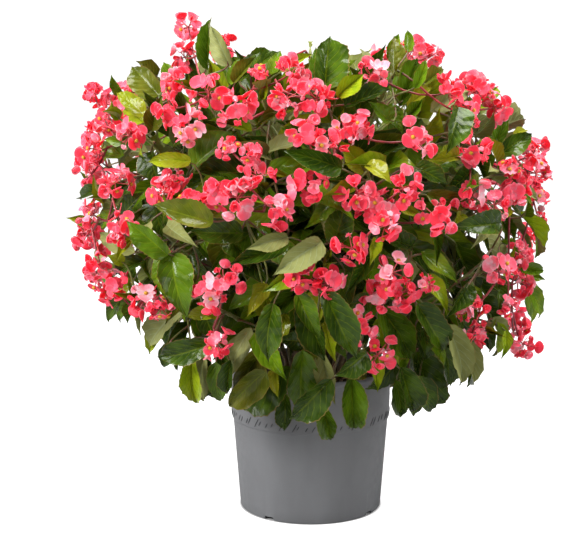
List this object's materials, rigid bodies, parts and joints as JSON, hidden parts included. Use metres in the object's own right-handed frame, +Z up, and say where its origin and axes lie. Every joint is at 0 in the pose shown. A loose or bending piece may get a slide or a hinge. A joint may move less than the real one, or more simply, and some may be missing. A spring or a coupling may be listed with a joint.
{
  "type": "potted begonia",
  "caption": "Bushy angel-wing begonia with arching canes, pointed glossy leaves and hanging clusters of coral-pink flowers, in a round tapered nursery pot.",
  "frame": {"origin": "middle of the pot's foot, on the surface that the pot stands on", "axes": "+Z up along the pot's axis; -Y towards the viewer's side; +X to the viewer's right"},
  "size_m": [0.701, 0.7087, 0.7465],
  "materials": {
    "pot_plastic": "moulded, satin, mid grey",
    "potting_mix": "damp crumbly peat and bark",
    "foliage": "glossy dark green, young leaves yellow-green",
    "blooms": "soft coral-pink petals with a fine sheen"
  },
  "bodies": {
    "root": {"flower_spray_01": "blooms", "flower_spray_02": "blooms", "flower_spray_03": "blooms", "flower_spray_04": "blooms", "flower_spray_05": "blooms", "flower_spray_06": "blooms", "flower_spray_07": "blooms", "flower_spray_08": "blooms", "flower_spray_09": "blooms", "flower_spray_10": "blooms", "flower_spray_11": "blooms", "flower_spray_12": "blooms", "flower_spray_13": "blooms", "flower_spray_14": "blooms", "flower_spray_15": "blooms", "flower_spray_16": "blooms", "flower_spray_17": "blooms", "flower_spray_19": "blooms", "flower_spray_20": "blooms", "flower_spray_21": "blooms", "flower_spray_22": "blooms", "flower_spray_23": "blooms", "flower_spray_24": "blooms", "flower_spray_25": "blooms", "flower_spray_26": "blooms", "flower_spray_27": "blooms", "leafy_stem_01": "foliage", "leafy_stem_02": "foliage", "leafy_stem_03": "foliage", "leafy_stem_04": "foliage", "leafy_stem_05": "foliage", "leafy_stem_06": "foliage", "leafy_stem_07": "foliage", "leafy_stem_08": "foliage", "leafy_stem_09": "foliage", "leafy_stem_10": "foliage", "leafy_stem_11": "foliage", "leafy_stem_12": "foliage", "leafy_stem_13": "foliage", "leafy_stem_14": "foliage", "leafy_stem_15": "foliage", "leafy_stem_16": "foliage", "leafy_stem_17": "foliage", "leafy_stem_18": "foliage", "leafy_stem_19": "foliage", "leafy_stem_20": "foliage", "leafy_stem_21": "foliage", "leafy_stem_22": "foliage", "leafy_stem_23": "foliage", "leafy_stem_24": "foliage", "leafy_stem_25": "foliage", "leafy_stem_26": "foliage", "leafy_stem_27": "foliage", "pot": "pot_plastic", "potting_mix": "potting_mix"}
  },
  "joints": []
}
